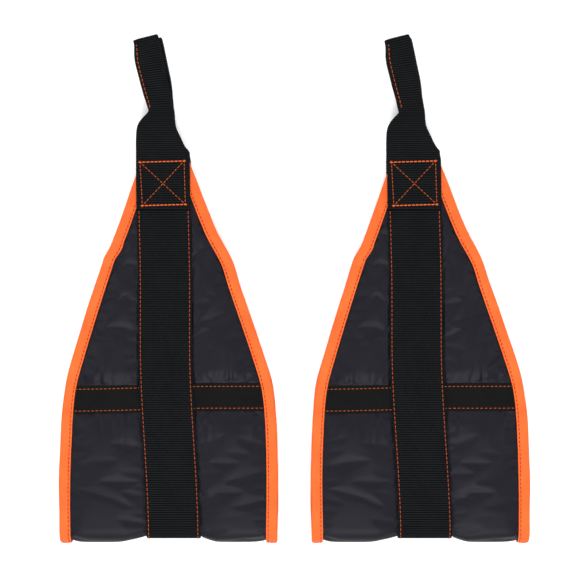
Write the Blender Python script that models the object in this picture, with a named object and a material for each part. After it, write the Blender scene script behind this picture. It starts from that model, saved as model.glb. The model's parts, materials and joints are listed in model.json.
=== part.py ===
"""A pair of padded hanging ab slings, lying flat.

Each sling is one long padded strip folded in half. A 50 mm load webbing runs down the middle of both
halves and round the fold. At the top of each half the webbing is folded double lengthwise, turned back
into a hanging loop and sewn down over its own tail with a boxed cross of thread. Orange tape binds the
side edges, and a 25 mm band is sewn across each half.

Lengths are in millimetres until a mesh is made. x runs across a sling, y runs from the fold to the loops
and z is up. Within a half, a level is a height measured outwards from the sling's middle surface, towards
the face that shows when the sling is closed.
"""

import math

import bmesh
import bpy
from mathutils import Matrix, Vector

MM = 0.001
GAP = 0.3

# Overall
SLING_SPACING = 233.3
SLING_LENGTH = 472.0

# The padded strip
COVER_THICKNESS = 0.8
LINING_THICKNESS = 0.8
PAD_THICKNESS = 9.5
FOLD_GAP = 4.5
TIP_GAP = 1.0
TIP_GAP_Y = 330.0
PANEL_TOP = 356.0
FOLD_RADIUS = FOLD_GAP + PAD_THICKNESS
HALF_START = FOLD_RADIUS + GAP
SHOULDER = 14.0
CELL_EMPTY_WIDTH = 6.0
CELL_FULL_WIDTH = 26.0
FLANK_RISE = 0.3
FULL_FLANK_RISE = 1.6
SEAM_MARGIN = 1.5

# Side edges of the strip, as (y, x) of the points that shape them
LEFT_EDGE = [(0, -100.5), (60, -101.3), (105, -100.0), (135, -97.8), (158, -93.4),
             (262, -61.4), (277, -53.6), (356, -25.5)]
RIGHT_EDGE = [(0, 101.0), (60, 101.5), (105, 100.5), (135, 98.0), (158, 93.2),
              (240, 65.7), (262, 58.4), (292, 43.0), (356, 18.0)]

# Edge binding, a channel of folded tape
BINDING_WIDTH = 10.6
BINDING_THICKNESS = 4.6
BINDING_WALL = 1.0
BINDING_EDGE_WALL = 1.3
BINDING_SPREAD = FOLD_RADIUS - FOLD_GAP - BINDING_THICKNESS
BINDING_SPREAD_Y = 100.0
SLOT_DEPTH = 1.6
SLOT_CLEARANCE = 0.1

# Load webbing, cross band and hanging loops
WEBBING_WIDTH = 50.0
WEBBING_THICKNESS = 1.7
WEBBING_SEAM = 4.6
WEBBING_START_X = 4.7
# Where the webbing drifts across as it runs up the pad: from y, to y, and by how much
WEBBING_DRIFTS = [(0, 185, -8.0), (230, 350, -2.1)]
BAND_WIDTH = 25.4
BAND_THICKNESS = 1.1
BAND_Y = 134.0
BAND_ROWS = (BAND_Y - BAND_WIDTH / 2 - GAP, BAND_Y + BAND_WIDTH / 2 + GAP)
BAND_SEAM = WEBBING_SEAM - GAP - BAND_THICKNESS
BAND_PAD_SEAM = 5.2
BAND_SHOULDER_RISE = 1.2
STRAP_END_Y = 309.0
NECK_Y = 400.0
FOLDED_THICKNESS = 3.5
FOLDING_RATE = 1.4
NECK_LAYER_GAP = 1.0
EYE_GAP = 5.0
LOOP_MID_HEIGHT = 12.3
LOOP_LEVEL_Y = 420.0
LOOP_INNER_LEVEL = 0.2
BACK_LOOP_SHIFT = 2.6
BACK_LOOP_DROP = 1.5
SHIFT_SHARE = 0.5
OPENING_SHARE = 0.45

# Thread
THREAD_WIDTH = 1.0
THREAD_HEIGHT = 0.5
BOX_SIZE = 40.5
BOX_Y = 333.0
EDGE_STITCH_INSET = 2.2
EDGE_STITCH_TOP = 306.0

FRONT, BACK = 1, -1
FOLD_STEPS = 8
FOLD_TURNS = [-90 + 180 * k / FOLD_STEPS for k in range(FOLD_STEPS + 1)]
CROWN_STEPS = 8

COLOURS = {
    "cover_nylon": ((0.030, 0.030, 0.036), 0.45),
    "lining_mesh": ((0.025, 0.025, 0.027), 0.85),
    "foam": ((0.55, 0.55, 0.53), 0.95),
    "binding_tape": ((0.95, 0.23, 0.045), 0.75),
    "webbing": ((0.018, 0.019, 0.019), 0.75),
    "thread": ((0.90, 0.20, 0.05), 0.60),
}


# ---------------------------------------------------------------- small maths


def clamp(value, low=0.0, high=1.0):
    return max(low, min(high, value))


def smooth(t):
    t = clamp(t)
    return t * t * (3 - 2 * t)


def through(points, y):
    """A smooth curve through (y, x) points, read at y."""
    if y <= points[0][0]:
        return points[0][1]
    if y >= points[-1][0]:
        return points[-1][1]
    k = max(i for i in range(len(points) - 1) if points[i][0] <= y)
    (y0, x0), (y1, x1) = points[k], points[k + 1]

    def slope(i):
        low, high = points[max(i - 1, 0)], points[min(i + 1, len(points) - 1)]
        return (high[1] - low[1]) / (high[0] - low[0])

    span = y1 - y0
    t = (y - y0) / span
    rise0, rise1 = slope(k) * span, slope(k + 1) * span
    return (
        (2 * t**3 - 3 * t**2 + 1) * x0
        + (t**3 - 2 * t**2 + t) * rise0
        + (3 * t**2 - 2 * t**3) * x1
        + (t**3 - t**2) * rise1
    )


# ---------------------------------------------------------------- shape of a sling


def inner_gap(y):
    """Half of the space between the linings: a wedge that closes towards the loops."""
    t = clamp((y - FOLD_RADIUS) / (TIP_GAP_Y - FOLD_RADIUS))
    return FOLD_GAP + (TIP_GAP - FOLD_GAP) * t


def edge_spread(y):
    """How much further apart the stiff bound edges stand than the linings, near the fold."""
    return BINDING_SPREAD * (1 - smooth((y - FOLD_RADIUS) / (BINDING_SPREAD_Y - FOLD_RADIUS)))


def mid_height(y):
    """Height of the middle surface that keeps the back half flat on the ground."""
    if y <= PANEL_TOP:
        return inner_gap(y) + PAD_THICKNESS
    t = clamp((y - PANEL_TOP) / (LOOP_LEVEL_Y - PANEL_TOP))
    low = TIP_GAP + PAD_THICKNESS
    return low + (LOOP_MID_HEIGHT - low) * t


def webbing_centre(y):
    """The webbing is sewn on a little askew."""
    drifts = [by * smooth((y - start) / (end - start)) for start, end, by in WEBBING_DRIFTS]
    return WEBBING_START_X + sum(drifts)


def edge_stretch(points, y):
    """Horizontal width of a 1 mm wide strip along a slanting edge."""
    slope = (through(points, y + 1) - through(points, y - 1)) / 2
    return math.hypot(1, slope)


def on_half(side):
    """Placer of a half: (x, y, level) to a point."""
    return lambda x, y, level: (x, y, mid_height(y) + side * level)


def on_fold(x, turn, level):
    """Placer of the fold: turn runs from -90 degrees on the back half to 90 on the front half."""
    angle = math.radians(turn)
    return (x, FOLD_RADIUS - level * math.cos(angle), FOLD_RADIUS + level * math.sin(angle))


# ---------------------------------------------------------------- meshes


def material(slot):
    found = bpy.data.materials.get(slot)
    if found:
        return found
    colour, roughness = COLOURS[slot]
    made = bpy.data.materials.new(slot)
    made.use_nodes = True
    shader = made.node_tree.nodes["Principled BSDF"]
    shader.inputs["Base Color"].default_value = (*colour, 1)
    shader.inputs["Roughness"].default_value = roughness
    shader.inputs["Metallic"].default_value = 0.0
    return made


def vertices(bm, points):
    return [bm.verts.new(Vector(point) * MM) for point in points]


def finished(bm, name, slot):
    """An object from a closed bmesh, in triangles, with its faces pointing out."""
    bmesh.ops.recalc_face_normals(bm, faces=bm.faces)
    bmesh.ops.triangulate(bm, faces=bm.faces, quad_method="FIXED")
    mesh = bpy.data.meshes.new(name)
    bm.to_mesh(mesh)
    bm.free()
    mesh.materials.append(material(slot))
    obj = bpy.data.objects.new(name, mesh)
    bpy.context.scene.collection.objects.link(obj)
    return obj


def sheet(name, upper, lower, slot):
    """A closed sheet between two grids of points with the same rows and columns."""
    bm = bmesh.new()
    for grid in (upper, lower):
        rows = [vertices(bm, row) for row in grid]
        for low, high in zip(rows, rows[1:]):
            for k in range(len(low) - 1):
                bm.faces.new((low[k], low[k + 1], high[k + 1], high[k]))
    rim = [edge for edge in bm.edges if edge.is_boundary]
    bmesh.ops.bridge_loops(bm, edges=rim)
    return finished(bm, name, slot)


def loft(name, sections, slot):
    """A closed bar through sections that all have the same number of corners."""
    bm = bmesh.new()
    rings = [vertices(bm, section) for section in sections]
    for first, second in zip(rings, rings[1:]):
        for k in range(len(first)):
            bm.faces.new((first[k - 1], first[k], second[k], second[k - 1]))
    bm.faces.new(rings[0])
    bm.faces.new(rings[-1])
    return finished(bm, name, slot)


# ---------------------------------------------------------------- columns and rows of the pad


def side_columns(points, inward, y):
    """x of one side's seven columns: slot, flank, shoulder, two on the cell, seam, beneath the webbing."""
    centre = webbing_centre(y)
    edge, stretch = through(points, y), edge_stretch(points, y)
    slot = edge + inward * SLOT_DEPTH * stretch
    flank = edge + inward * (BINDING_WIDTH + GAP) * stretch
    shoulder = edge + inward * SHOULDER * stretch
    seam = centre - inward * (WEBBING_WIDTH / 2 + SEAM_MARGIN)
    seam = max(seam * inward, shoulder * inward + SEAM_MARGIN) * inward
    third = (seam - shoulder) / 3
    return [slot, flank, shoulder, shoulder + third, seam - third, seam, (seam + centre) / 2]


def columns_at(y):
    """x of the pad's fifteen columns, from the left edge to the right."""
    return side_columns(LEFT_EDGE, 1, y) + [webbing_centre(y)] + side_columns(RIGHT_EDGE, -1, y)[::-1]


def cell_fullness(columns):
    """From 1 where the cell beside the webbing is wide to 0 where the webbing covers it."""
    shoulder, seam = columns[2], columns[5]
    return clamp((abs(seam - shoulder) - CELL_EMPTY_WIDTH) / (CELL_FULL_WIDTH - CELL_EMPTY_WIDTH))


def side_levels(points, inward, y):
    """Outer level of the cover at one side's seven columns."""
    slot = edge_spread(y) + BINDING_THICKNESS - BINDING_WALL - GAP - SLOT_CLEARANCE
    if BAND_ROWS[0] <= y <= BAND_ROWS[1]:
        return [slot, slot, slot + BAND_SHOULDER_RISE, BAND_PAD_SEAM, BAND_PAD_SEAM, BAND_SEAM, BAND_SEAM]
    fullness = cell_fullness(side_columns(points, inward, y))
    pad = WEBBING_SEAM + (PAD_THICKNESS - WEBBING_SEAM) * fullness
    flank = min(slot + FLANK_RISE + FULL_FLANK_RISE * fullness, PAD_THICKNESS)
    return [slot, slot, flank, pad, pad, WEBBING_SEAM, WEBBING_SEAM]


def cover_levels(y):
    """Outer level of the cover at each column, above the lining's inner face."""
    left, right = side_levels(LEFT_EDGE, 1, y), side_levels(RIGHT_EDGE, -1, y)
    return left + [left[-1]] + right[::-1]


def lining_levels(y):
    """Inner level of the lining at each column."""
    slot = edge_spread(y) + BINDING_WALL + GAP
    side = [slot, slot, slot / 2, 0, 0, 0, 0]
    return side + [0] + side[::-1]


PAD_COLUMNS = range(15)
FOAM_COLUMNS = range(2, 13)
LINING_COLUMNS = [0, 1, 2, 3, 7, 11, 12, 13, 14]
PAD_ROWS = [HALF_START, 34, 60, 100, *BAND_ROWS, 163, 215, 258, 278, 305, TIP_GAP_Y, PANEL_TOP]
WEBBING_ROWS = [HALF_START, 60, 95, 130, 165, 190, 235]


def pad_grid(levels_of, columns, rows, place, offset):
    """Grid of points at levels_of(y) plus offset, over the given columns and rows."""
    grid = []
    for y in rows:
        xs, levels = columns_at(y), levels_of(y)
        grid.append([place(xs[c], y, inner_gap(y) + levels[c] + offset) for c in columns])
    return grid


def fold_grid(levels_of, columns, offset):
    xs, levels = columns_at(FOLD_RADIUS), levels_of(FOLD_RADIUS)
    return [[on_fold(xs[c], t, FOLD_GAP + levels[c] + offset) for c in columns] for t in FOLD_TURNS]


# ---------------------------------------------------------------- parts of one half


def cover(name, side):
    place = on_half(side)
    outer = pad_grid(cover_levels, PAD_COLUMNS, PAD_ROWS, place, 0)
    inner = pad_grid(cover_levels, PAD_COLUMNS, PAD_ROWS, place, -COVER_THICKNESS)
    return sheet(name, outer, inner, "cover_nylon")


def foam(name, side):
    place = on_half(side)
    outer = pad_grid(cover_levels, FOAM_COLUMNS, PAD_ROWS, place, -COVER_THICKNESS - GAP)
    inner = pad_grid(lining_levels, FOAM_COLUMNS, PAD_ROWS, place, LINING_THICKNESS + GAP)
    return sheet(name, outer, inner, "foam")


def lining(name, side):
    place = on_half(side)
    outer = pad_grid(lining_levels, LINING_COLUMNS, PAD_ROWS, place, LINING_THICKNESS)
    inner = pad_grid(lining_levels, LINING_COLUMNS, PAD_ROWS, place, 0)
    return sheet(name, outer, inner, "lining_mesh")


# The binding's section is a channel, open towards the pad: (inward distance, level), going round it.
CHANNEL = [
    (0, 0), (BINDING_WIDTH, 0),
    (BINDING_WIDTH, BINDING_WALL), (BINDING_EDGE_WALL, BINDING_WALL),
    (BINDING_EDGE_WALL, BINDING_THICKNESS - BINDING_WALL), (BINDING_WIDTH, BINDING_THICKNESS - BINDING_WALL),
    (BINDING_WIDTH, BINDING_THICKNESS), (0, BINDING_THICKNESS),
]


def binding(name, side, points, inward):
    place = on_half(side)
    sections = []
    for y in PAD_ROWS:
        edge, stretch = through(points, y), edge_stretch(points, y)
        base = inner_gap(y) + edge_spread(y)
        sections.append([place(edge + inward * u * stretch, y, base + v) for u, v in CHANNEL])
    return loft(name, sections, "binding_tape")


def cross_band(name, side):
    """The 25 mm band: on the pad from edge tape to edge tape, beneath the load webbing."""
    place = on_half(side)
    rows = [BAND_Y - BAND_WIDTH / 2, BAND_Y + BAND_WIDTH / 2]
    inside = PAD_COLUMNS[1:-1]
    lower = pad_grid(cover_levels, inside, rows, place, GAP)
    upper = pad_grid(cover_levels, inside, rows, place, GAP + BAND_THICKNESS)
    return sheet(name, upper, lower, "webbing")


def strap_section(place, y, left, right, level, thickness):
    low, high = level - thickness / 2, level + thickness / 2
    return [place(left, y, low), place(right, y, low), place(right, y, high), place(left, y, high)]


# Side edges of the neck, where the webbing gathers from full width to folded double, and of a loop, as
# (y, x) of the points that shape them, and the heights of the loop's top corners
NECK_LEFT = [(PANEL_TOP, -30.4), (382, -30.0), (390, -27.5), (NECK_Y, -18.5)]
NECK_RIGHT = [(PANEL_TOP, 19.6), (367, 15.6), (382, 6.2), (390, 4.2), (NECK_Y, 4.0)]
LOOP_LEFT = [(NECK_Y, -18.5), (418, -24.0), (434, -28.2), (448, -31.4), (461, -31.9)]
LOOP_RIGHT = [(NECK_Y, 4.0), (418, 1.6), (434, -0.8), (448, -3.4), (466, -7.2)]
LOOP_TOP_LEFT = 466.5
LOOP_TOP_RIGHT = SLING_LENGTH
LEG_SHARES = [0.0, 0.26, 0.5, 0.72, 1.0]

WEBBING_LEVEL = WEBBING_SEAM + GAP + WEBBING_THICKNESS / 2
STRAP_LEVEL = WEBBING_LEVEL + WEBBING_THICKNESS + GAP
NECK_ROWS = [PANEL_TOP + 6, 367, 374, 382, 390, NECK_Y - GAP]
NECK_WEBBING_LEVEL = GAP + FOLDED_THICKNESS / 2
NECK_STRAP_LEVEL = NECK_WEBBING_LEVEL + FOLDED_THICKNESS + NECK_LAYER_GAP


def neck_sections(place, start_level, end_level):
    sections = []
    for y in NECK_ROWS:
        t = (y - PANEL_TOP) / (NECK_Y - PANEL_TOP)
        left, right = through(NECK_LEFT, y), through(NECK_RIGHT, y)
        thickness = WEBBING_THICKNESS + (FOLDED_THICKNESS - WEBBING_THICKNESS) * clamp(FOLDING_RATE * t)
        level = start_level + (end_level - start_level) * smooth(t)
        sections.append(strap_section(place, y, left, right, level, thickness))
    return sections


def flat_sections(place, rows, level):
    return [
        strap_section(place, y, webbing_centre(y) - WEBBING_WIDTH / 2,
                      webbing_centre(y) + WEBBING_WIDTH / 2, inner_gap(y) + level, WEBBING_THICKNESS)
        for y in rows
    ]


def webbing(name, side):
    """Load webbing of one half, from the fold up over the panel's top to the neck."""
    place = on_half(side)
    sections = flat_sections(place, WEBBING_ROWS + [290, TIP_GAP_Y, PANEL_TOP], WEBBING_LEVEL)
    sections += neck_sections(place, TIP_GAP + WEBBING_LEVEL, NECK_WEBBING_LEVEL)
    return loft(name, sections, "webbing")


def strap_end(name, side):
    """The webbing's tail, brought back down over itself and sewn with the boxed cross."""
    place = on_half(side)
    sections = flat_sections(place, [STRAP_END_Y, TIP_GAP_Y, PANEL_TOP], STRAP_LEVEL)
    sections += neck_sections(place, TIP_GAP + STRAP_LEVEL, NECK_STRAP_LEVEL)
    return loft(name, sections, "webbing")


def loop(name, side):
    """A hanging loop: webbing folded double lengthwise, up one leg, over the crown, down the other."""
    outer_radius = EYE_GAP / 2 + FOLDED_THICKNESS
    inner_radius = EYE_GAP / 2
    drop = BACK_LOOP_DROP if side == BACK else 0.0
    eye_level = LOOP_INNER_LEVEL + outer_radius
    left_top, right_top = LOOP_TOP_LEFT - drop, LOOP_TOP_RIGHT - drop
    tilt = math.atan2(right_top - left_top, LOOP_RIGHT[-1][1] - LOOP_LEFT[-1][1])
    up = (-math.sin(tilt), math.cos(tilt))

    def shift(share):
        return BACK_LOOP_SHIFT * smooth(share / SHIFT_SHARE) if side == BACK else 0.0

    def ends(share):
        """Left and right ends of the strap's width at a share of the leg's length."""
        low = NECK_Y + GAP
        yl = low + (left_top - up[1] * outer_radius - low) * share
        yr = low + (right_top - up[1] * outer_radius - low) * share
        return (through(LOOP_LEFT, yl) + shift(share), yl), (through(LOOP_RIGHT, yr) + shift(share), yr)

    def point(end, reach, level):
        x, y = end[0] + up[0] * reach, end[1] + up[1] * reach
        return (x, y, mid_height(y) + side * level)

    def section(left, right, inside, outside):
        """Ring of four points; inside and outside are (reach, level) of the strap's two faces."""
        return [point(left, *inside), point(right, *inside), point(right, *outside), point(left, *outside)]

    sections = []
    for share in LEG_SHARES:
        opening = smooth(share / OPENING_SHARE)
        near = NECK_STRAP_LEVEL - FOLDED_THICKNESS / 2
        level = near + (eye_level + inner_radius - near) * opening
        sections.append(section(*ends(share), (0, level), (0, level + FOLDED_THICKNESS)))
    crown = ends(1.0)
    for k in range(1, CROWN_STEPS):
        angle = math.pi / 2 - math.pi * k / CROWN_STEPS
        c, s = math.cos(angle), math.sin(angle)
        sections.append(section(*crown, (inner_radius * c, eye_level + inner_radius * s),
                                (outer_radius * c, eye_level + outer_radius * s)))
    for share in LEG_SHARES[::-1]:
        opening = smooth(share / OPENING_SHARE)
        near = GAP + FOLDED_THICKNESS
        level = near + (eye_level - inner_radius - near) * opening
        sections.append(section(*ends(share), (0, level), (0, level - FOLDED_THICKNESS)))
    return loft(name, sections, "webbing")


def stitch_line(name, side, inset_sign):
    """The row of thread along one edge of the load webbing, as one raised ridge."""
    place = on_half(side)
    sections = []
    for y in WEBBING_ROWS + [EDGE_STITCH_TOP]:
        x = webbing_centre(y) + inset_sign * (WEBBING_WIDTH / 2 - EDGE_STITCH_INSET)
        top = inner_gap(y) + WEBBING_LEVEL + WEBBING_THICKNESS / 2 + GAP
        sections.append(strap_section(place, y, x - THREAD_WIDTH / 2, x + THREAD_WIDTH / 2,
                                      top + THREAD_HEIGHT / 2, THREAD_HEIGHT))
    return loft(name, sections, "thread")


def box_stitch(name, side):
    """The boxed cross of thread that holds the loop's tail down, as one raised figure."""
    place = on_half(side)
    outer = BOX_SIZE / 2
    inner = outer - THREAD_WIDTH
    arm = THREAD_WIDTH * math.sqrt(2) / 2
    # Each quarter has a corner of the box and the three corners of the cloth that shows inside it.
    quarter = [(-outer, -outer), (arm - inner, -inner), (inner - arm, -inner), (0, -arm)]
    bm = bmesh.new()
    rows = []
    for c, s in ((1, 0), (0, 1), (-1, 0), (0, -1)):
        turned = [(c * x - s * y, BOX_Y + s * x + c * y) for x, y in quarter]
        rows.append(vertices(bm, [
            place(webbing_centre(BOX_Y) + x, y, inner_gap(y) + STRAP_LEVEL + WEBBING_THICKNESS / 2 + GAP)
            for x, y in turned
        ]))
    for turn in range(4):
        box, left, right, tip = rows[turn]
        next_box, next_left, _, next_tip = rows[(turn + 1) % 4]
        bm.faces.new((box, next_box, right, left))
        bm.faces.new((right, next_box, next_left))
        bm.faces.new((tip, right, next_left, next_tip))
    bm.faces.new([row[3] for row in rows])
    extruded = bmesh.ops.extrude_face_region(bm, geom=bm.faces[:])["geom"]
    for vertex in extruded:
        if isinstance(vertex, bmesh.types.BMVert):
            vertex.co.z += side * THREAD_HEIGHT * MM
    return finished(bm, name, "thread")


# ---------------------------------------------------------------- parts of the fold


def fold_cover(name):
    outer = fold_grid(cover_levels, PAD_COLUMNS, 0)
    return sheet(name, outer, fold_grid(cover_levels, PAD_COLUMNS, -COVER_THICKNESS), "cover_nylon")


def fold_foam(name):
    outer = fold_grid(cover_levels, FOAM_COLUMNS, -COVER_THICKNESS - GAP)
    return sheet(name, outer, fold_grid(lining_levels, FOAM_COLUMNS, LINING_THICKNESS + GAP), "foam")


def fold_lining(name):
    outer = fold_grid(lining_levels, LINING_COLUMNS, LINING_THICKNESS)
    return sheet(name, outer, fold_grid(lining_levels, LINING_COLUMNS, 0), "lining_mesh")


def fold_binding(name, points, inward):
    edge = through(points, FOLD_RADIUS)
    base = FOLD_GAP + BINDING_SPREAD
    sections = [[on_fold(edge + inward * u, t, base + v) for u, v in CHANNEL] for t in FOLD_TURNS]
    return loft(name, sections, "binding_tape")


def fold_webbing(name):
    centre = webbing_centre(FOLD_RADIUS)
    left, right = centre - WEBBING_WIDTH / 2, centre + WEBBING_WIDTH / 2
    low = FOLD_GAP + WEBBING_LEVEL - WEBBING_THICKNESS / 2
    high = low + WEBBING_THICKNESS
    sections = [
        [on_fold(left, t, low), on_fold(right, t, low), on_fold(right, t, high), on_fold(left, t, high)]
        for t in FOLD_TURNS
    ]
    return loft(name, sections, "webbing")


# ---------------------------------------------------------------- assembly


def half_panel(prefix, side):
    """Every part of one half of a sling but its hanging loop."""
    return [
        cover(prefix + "cover", side),
        foam(prefix + "foam", side),
        lining(prefix + "lining", side),
        binding(prefix + "binding_left", side, LEFT_EDGE, 1),
        binding(prefix + "binding_right", side, RIGHT_EDGE, -1),
        cross_band(prefix + "cross_band", side),
        webbing(prefix + "webbing", side),
        strap_end(prefix + "strap_end", side),
        box_stitch(prefix + "box_stitch", side),
        stitch_line(prefix + "webbing_stitch_left", side, -1),
        stitch_line(prefix + "webbing_stitch_right", side, 1),
    ]


def fold(prefix):
    """Every part of a sling's fold, which bends as the sling opens."""
    return [
        fold_cover(prefix + "cover"),
        fold_foam(prefix + "foam"),
        fold_lining(prefix + "lining"),
        fold_binding(prefix + "binding_left", LEFT_EDGE, 1),
        fold_binding(prefix + "binding_right", RIGHT_EDGE, -1),
        fold_webbing(prefix + "webbing"),
    ]


def empty(name, point, parent=None, parent_point=(0, 0, 0)):
    """An empty at a point of the sling, under another one."""
    obj = bpy.data.objects.new(name, None)
    bpy.context.scene.collection.objects.link(obj)
    obj.location = (Vector(point) - Vector(parent_point)) * MM
    obj.parent = parent
    return obj


def hang(parts, pivot, point):
    """Puts parts made in the sling's frame on an empty that stands at a point of it."""
    for part in parts:
        part.data.transform(Matrix.Translation(-Vector(point) * MM))
        part.parent = pivot


def sling(side_name, middle_x):
    """One sling, whose moving pieces hang on empties that stand on their joints' axes."""
    front, back = side_name + "_front_", side_name + "_back_"
    edges_middle = (min(x for _, x in LEFT_EDGE) + max(x for _, x in RIGHT_EDGE)) / 2
    frame = empty(side_name + "_sling", (middle_x - edges_middle, -SLING_LENGTH / 2, 0))
    fold_axis = (0, FOLD_RADIUS, FOLD_RADIUS)
    loop_out = NECK_STRAP_LEVEL + FOLDED_THICKNESS / 2
    neck_x = (NECK_LEFT[-1][1] + NECK_RIGHT[-1][1]) / 2
    front_axis = on_half(FRONT)(neck_x, NECK_Y, loop_out)
    back_axis = on_half(BACK)(neck_x, NECK_Y, loop_out)
    front_pivot = empty(front + "pivot", fold_axis, frame)
    front_loop_pivot = empty(front + "loop_pivot", front_axis, front_pivot, fold_axis)
    back_loop_pivot = empty(back + "loop_pivot", back_axis, frame)
    hang(half_panel(back, BACK) + fold(side_name + "_fold_"), frame, (0, 0, 0))
    hang(half_panel(front, FRONT), front_pivot, fold_axis)
    hang([loop(front + "loop", FRONT)], front_loop_pivot, front_axis)
    hang([loop(back + "loop", BACK)], back_loop_pivot, back_axis)


def main():
    for obj in list(bpy.data.objects):
        bpy.data.objects.remove(obj, do_unlink=True)
    sling("left", -SLING_SPACING / 2)
    sling("right", SLING_SPACING / 2)


main()
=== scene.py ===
"""The looks of a pair of padded hanging ab slings, made piece by piece in the order they are sewn."""

import json
import math

import bmesh
import bpy
import numpy as np
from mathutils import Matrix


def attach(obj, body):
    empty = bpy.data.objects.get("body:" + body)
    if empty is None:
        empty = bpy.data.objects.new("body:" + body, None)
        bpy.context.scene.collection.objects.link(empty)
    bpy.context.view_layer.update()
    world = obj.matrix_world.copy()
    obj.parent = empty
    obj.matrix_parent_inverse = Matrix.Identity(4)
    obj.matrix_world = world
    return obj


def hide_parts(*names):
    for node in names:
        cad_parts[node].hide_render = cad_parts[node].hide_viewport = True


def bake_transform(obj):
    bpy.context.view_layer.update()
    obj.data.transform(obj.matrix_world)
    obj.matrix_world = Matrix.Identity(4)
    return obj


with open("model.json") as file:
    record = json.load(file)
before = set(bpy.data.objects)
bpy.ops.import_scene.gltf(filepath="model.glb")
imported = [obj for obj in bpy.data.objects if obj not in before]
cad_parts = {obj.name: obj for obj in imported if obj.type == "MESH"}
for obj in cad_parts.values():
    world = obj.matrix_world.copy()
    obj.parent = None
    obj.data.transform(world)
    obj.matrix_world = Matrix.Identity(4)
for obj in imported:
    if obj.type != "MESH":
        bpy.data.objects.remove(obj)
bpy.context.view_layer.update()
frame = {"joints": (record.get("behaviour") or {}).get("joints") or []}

# ---------------------------------------------------------------- Stage
# The slings lie on a white table under broad soft lights, and the camera looks straight down at them
# through a long lens.

TABLE_REACH = 4
TABLE_GLOW = 0.14
STUDIO_LIGHT = 0.32

scene = bpy.context.scene
scene.view_settings.view_transform = "Standard"

world = bpy.data.worlds.new("studio")
world.use_nodes = True
world.node_tree.nodes["Background"].inputs["Color"].default_value = (1, 1, 1, 1)
world.node_tree.nodes["Background"].inputs["Strength"].default_value = STUDIO_LIGHT
scene.world = world


def plain_material(name, colour, roughness):
    made = bpy.data.materials.new(name)
    made.use_nodes = True
    shader = made.node_tree.nodes["Principled BSDF"]
    shader.inputs["Base Color"].default_value = (*colour, 1)
    shader.inputs["Roughness"].default_value = roughness
    return made


def soft_light(name, place, size, power):
    """A square area light that looks at the middle of the table."""
    lamp = bpy.data.lights.new(name, "AREA")
    lamp.energy = power
    lamp.size = size
    made = bpy.data.objects.new(name, lamp)
    made.location = place
    made.rotation_euler = (-made.location).to_track_quat("-Z", "Y").to_euler()
    scene.collection.objects.link(made)


table_bm = bmesh.new()
bmesh.ops.create_grid(table_bm, x_segments=1, y_segments=1, size=TABLE_REACH)
table_mesh = bpy.data.meshes.new("table")
table_bm.to_mesh(table_mesh)
table_bm.free()
table_white = plain_material("table_white", (0.93, 0.93, 0.93), 0.9)
table_shader = table_white.node_tree.nodes["Principled BSDF"]
table_shader.inputs["Emission Color"].default_value = (1, 1, 1, 1)
table_shader.inputs["Emission Strength"].default_value = TABLE_GLOW
table_mesh.materials.append(table_white)
table = bpy.data.objects.new("table", table_mesh)
scene.collection.objects.link(table)

soft_light("left_softbox", (-1.5, 0.3, 1.1), 1.0, 15)
soft_light("right_softbox", (1.5, 0.3, 1.1), 1.0, 13)
soft_light("front_softbox", (0.0, -1.1, 1.5), 1.3, 40)
soft_light("back_softbox", (0.0, 1.2, 1.3), 1.0, 13)

lens = bpy.data.cameras.new("lens")
lens.lens = 100
lens.sensor_width = 36
view = bpy.data.objects.new("view", lens)
view.location = (-0.0041, -0.0019, 1.515)
scene.collection.objects.link(view)
scene.camera = view

# ---------------------------------------------------------------- Load webbing and hanging loops
# Heavy 50 mm webbing, ribbed across. On each half it is one length: it runs up the pad from the fold, is
# folded double lengthwise at the neck, makes the hanging loop and comes back down to its cut end, which
# is sewn over it.

# A sling is a padded strip, folded in half, and a place on it has x across, v along the strip, from the
# back half (below zero) round the fold to the front half, and up above the lining, all in millimetres.
MM = 0.001
FOLD_GAP = 4.5
PAD = 9.5
FOLD_RADIUS = FOLD_GAP + PAD
QUARTER = FOLD_RADIUS * math.pi / 2
SPLIT = QUARTER + 0.3  # where the fold's pieces end and a half's begin
TIP_GAP = 1.0
TIP_GAP_Y = 330.0
PANEL_TOP = 356.0
LOOP_MIDDLE = 12.3
LOOP_LEVEL_Y = 420.0
WEBBING_START_X = 4.7
WEBBING_DRIFTS = ((8.0, 0, 185), (2.1, 230, 120))
SLINGS = ("left", "right")
HALVES = {"back": -1, "front": 1}
SHARP_ANGLE = math.radians(72)

joint_at = {joint["name"]: joint["pos_m"] for joint in frame["joints"] if "pos_m" in joint}


def ease(t):
    """A smooth step from 0 to 1."""
    t = np.clip(t, 0, 1)
    return t * t * (3 - 2 * t)


def through(points, y):
    """A smooth curve through (y, x) points, read at every y."""
    ys, xs = np.array(points, float).T
    number = np.arange(len(ys))
    before, after = np.maximum(number - 1, 0), np.minimum(number + 1, len(ys) - 1)
    slopes = (xs[after] - xs[before]) / (ys[after] - ys[before])
    y = np.clip(y, ys[0], ys[-1])
    k = np.clip(np.searchsorted(ys, y, side="right") - 1, 0, len(ys) - 2)
    span = ys[k + 1] - ys[k]
    t = (y - ys[k]) / span
    return (
        (2 * t**3 - 3 * t**2 + 1) * xs[k]
        + (t**3 - 2 * t**2 + t) * slopes[k] * span
        + (3 * t**2 - 2 * t**3) * xs[k + 1]
        + (t**3 - t**2) * slopes[k + 1] * span
    )


def height_along(v):
    """y of a place on the strip."""
    return FOLD_RADIUS + np.maximum(np.abs(v) - QUARTER, 0)


def inner_gap(y):
    """Height of each half's lining above the surface midway between the halves."""
    return FOLD_GAP + (TIP_GAP - FOLD_GAP) * np.clip((y - FOLD_RADIUS) / (TIP_GAP_Y - FOLD_RADIUS), 0, 1)


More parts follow.
